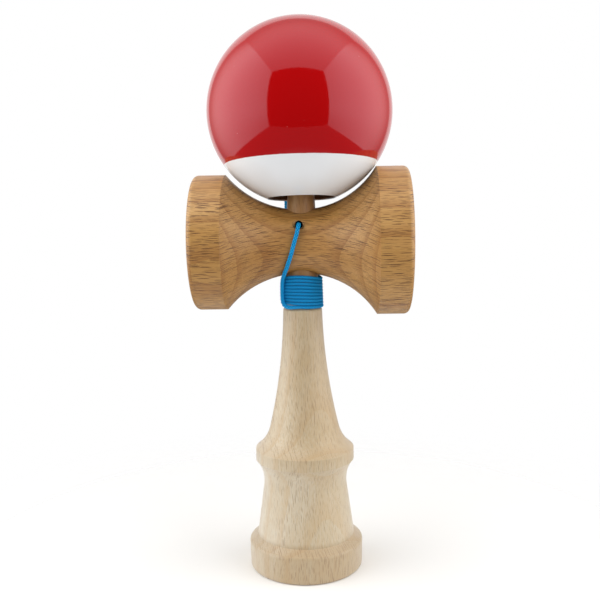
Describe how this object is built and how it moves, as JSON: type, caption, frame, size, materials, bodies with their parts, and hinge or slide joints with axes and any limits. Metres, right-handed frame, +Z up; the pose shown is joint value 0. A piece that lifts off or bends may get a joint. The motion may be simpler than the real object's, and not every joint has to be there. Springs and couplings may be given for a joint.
{
  "type": "kendama",
  "caption": "Turned wooden ball-and-cup toy: a handle with spike and base cup, a cross piece with a big and a small cup, and a lacquered ball on a string, put away on the spike.",
  "frame": {"origin": "centre of the base cup's rim, on the handle's axis, where the toy stands", "axes": "+Z up the handle to the ball, +X to the big cup, -Y to the front where the string leaves the cross piece"},
  "size_m": [0.07, 0.0616, 0.1836],
  "materials": {
    "pale_beech": "sanded, bare",
    "steamed_beech": "sanded, oiled",
    "tama_lacquer": "gloss lacquer, red over a white cap",
    "bead_wood": "sanded, bare",
    "string_nylon": "braided nylon"
  },
  "bodies": {
    "handle": {"ken": "pale_beech", "sarado": "steamed_beech", "string_anchor": "string_nylon", "string_lead": "string_nylon", "string_winding": "string_nylon", "string_to_tama": "string_nylon"},
    "bead": {"bead": "bead_wood", "string_end": "string_nylon"},
    "tama": {"tama": "tama_lacquer"}
  },
  "joints": [
    {"name": "tama_lift", "type": "slide", "parent": "handle", "child": "bead", "axis": [0, 0, 1], "range_m": [0, 0.06], "deforming": ["string_to_tama"]},
    {"name": "tama_spin", "type": "hinge", "parent": "bead", "child": "tama", "pos_m": [0, 0, 0.15249], "axis": [-0.0104, 0.0924, 0.9957], "continuous": true}
  ]
}
